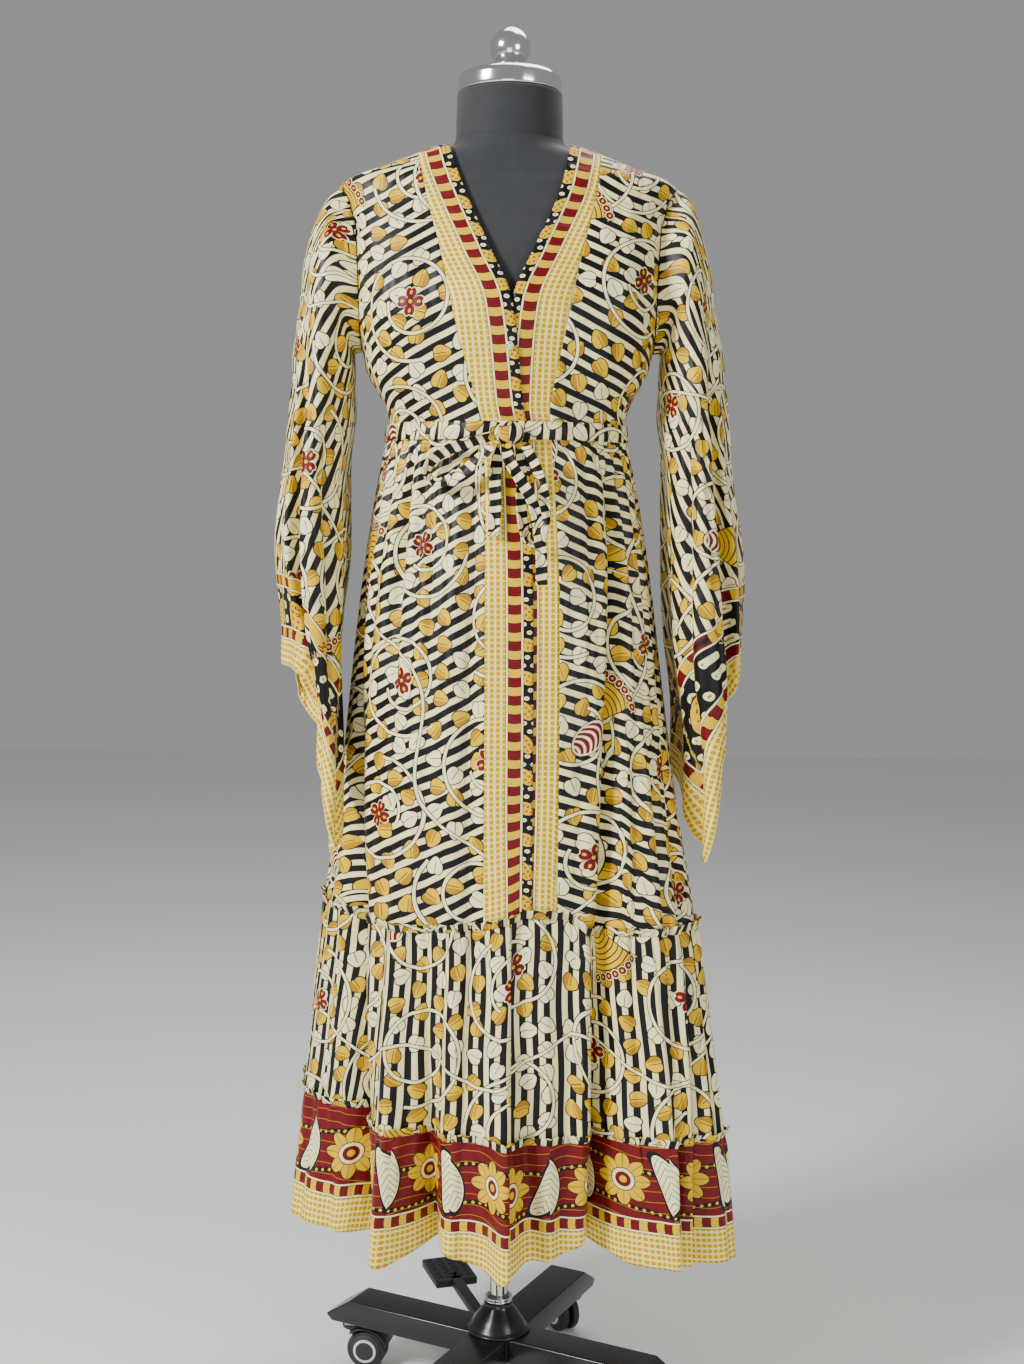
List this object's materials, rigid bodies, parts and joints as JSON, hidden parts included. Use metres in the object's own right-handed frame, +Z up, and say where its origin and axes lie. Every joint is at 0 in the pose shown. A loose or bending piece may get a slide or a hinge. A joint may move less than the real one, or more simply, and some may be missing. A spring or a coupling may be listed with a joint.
{
  "type": "kimono-style robe on a dress form",
  "caption": "Full-length printed satin wrap robe with wide pointed sleeves, gathered tiers and a waist tie, worn on a limbless dress form with pole, wheeled base and foot pedal.",
  "frame": {"origin": "middle of the whole footprint, on the floor", "axes": "+Z up, the robe's front faces -Y, +X is on the right when looking at the front"},
  "size_m": [0.5476, 0.4664, 1.626],
  "materials": {
    "printed_satin": "satin",
    "band_satin": "satin",
    "hem_satin": "satin",
    "form_cloth": "matte",
    "chrome": "polished",
    "black_paint": "gloss",
    "black_plastic": "matte",
    "black_rubber": "matte"
  },
  "bodies": {
    "base": {"hub": "black_paint", "leg_1": "black_paint", "leg_2": "black_paint", "leg_3": "black_paint", "leg_4": "black_paint", "pole_rod": "chrome", "pole_ring_1": "chrome", "pole_ring_2": "chrome"},
    "pedal_arm": {"pedal": "black_rubber"},
    "lift": {"pole_tube": "chrome"},
    "form": {"torso": "form_cloth", "form_plate": "black_paint", "neck_cap": "chrome", "cap_ball": "chrome", "bodice_front_left": "printed_satin", "bodice_front_right": "printed_satin", "bodice_back": "printed_satin", "band_neck": "band_satin", "band_left": "band_satin", "band_right": "band_satin", "skirt_front_left": "printed_satin", "skirt_front_right": "printed_satin", "skirt_back": "printed_satin", "tier_front_left": "printed_satin", "tier_front_right": "printed_satin", "tier_back": "printed_satin", "hem_front_left": "hem_satin", "hem_front_right": "hem_satin", "hem_back": "hem_satin", "sleeve_left": "printed_satin", "sleeve_right": "printed_satin", "belt": "printed_satin", "belt_knot": "printed_satin", "belt_loop_left": "printed_satin", "belt_loop_right": "printed_satin", "belt_end_left": "printed_satin", "belt_end_right": "printed_satin", "snap": "chrome"},
    "caster_1": {"caster_fork_1": "black_plastic"},
    "wheel_1": {"caster_wheel_1": "black_rubber"},
    "caster_2": {"caster_fork_2": "black_plastic"},
    "wheel_2": {"caster_wheel_2": "black_rubber"},
    "caster_3": {"caster_fork_3": "black_plastic"},
    "wheel_3": {"caster_wheel_3": "black_rubber"},
    "caster_4": {"caster_fork_4": "black_plastic"},
    "wheel_4": {"caster_wheel_4": "black_rubber"}
  },
  "joints": [
    {"name": "form_lift", "type": "slide", "parent": "base", "child": "lift", "axis": [0, 0, 1], "range_m": [0, 0.2]},
    {"name": "form_turn", "type": "hinge", "parent": "lift", "child": "form", "pos_m": [-0.005, -0.01513, 0.79], "axis": [0, 0, 1], "continuous": true},
    {"name": "pedal_press", "type": "hinge", "parent": "base", "child": "pedal_arm", "pos_m": [-0.01859, 0.02672, 0.074], "axis": [-0.9511, -0.309, 0], "range_deg": [0, 12], "stiffness_Nm_per_rad": 8, "springref_deg": -17.19},
    {"name": "caster_1_swivel", "type": "hinge", "parent": "base", "child": "caster_1", "pos_m": [0.08807, 0.16753, 0.056], "axis": [0, 0, 1], "continuous": true},
    {"name": "wheel_1_roll", "type": "hinge", "parent": "caster_1", "child": "wheel_1", "pos_m": [0.07907, 0.18312, 0.02452], "axis": [-0.866, -0.5, 0], "continuous": true},
    {"name": "caster_2_swivel", "type": "hinge", "parent": "base", "child": "caster_2", "pos_m": [-0.18765, 0.07794, 0.056], "axis": [0, 0, 1], "continuous": true},
    {"name": "wheel_2_roll", "type": "hinge", "parent": "caster_2", "child": "wheel_2", "pos_m": [-0.17005, 0.0742, 0.02452], "axis": [0.2079, 0.9781, 0], "continuous": true},
    {"name": "caster_3_swivel", "type": "hinge", "parent": "base", "child": "caster_3", "pos_m": [-0.09806, -0.19778, 0.056], "axis": [0, 0, 1], "continuous": true},
    {"name": "wheel_3_roll", "type": "hinge", "parent": "caster_3", "child": "wheel_3", "pos_m": [-0.11438, -0.20539, 0.02452], "axis": [0.4226, -0.9063, 0], "continuous": true},
    {"name": "caster_4_swivel", "type": "hinge", "parent": "base", "child": "caster_4", "pos_m": [0.17766, -0.1082, 0.056], "axis": [0, 0, 1], "continuous": true},
    {"name": "wheel_4_roll", "type": "hinge", "parent": "caster_4", "child": "wheel_4", "pos_m": [0.19457, -0.10204, 0.02452], "axis": [-0.342, 0.9397, 0], "continuous": true}
  ]
}
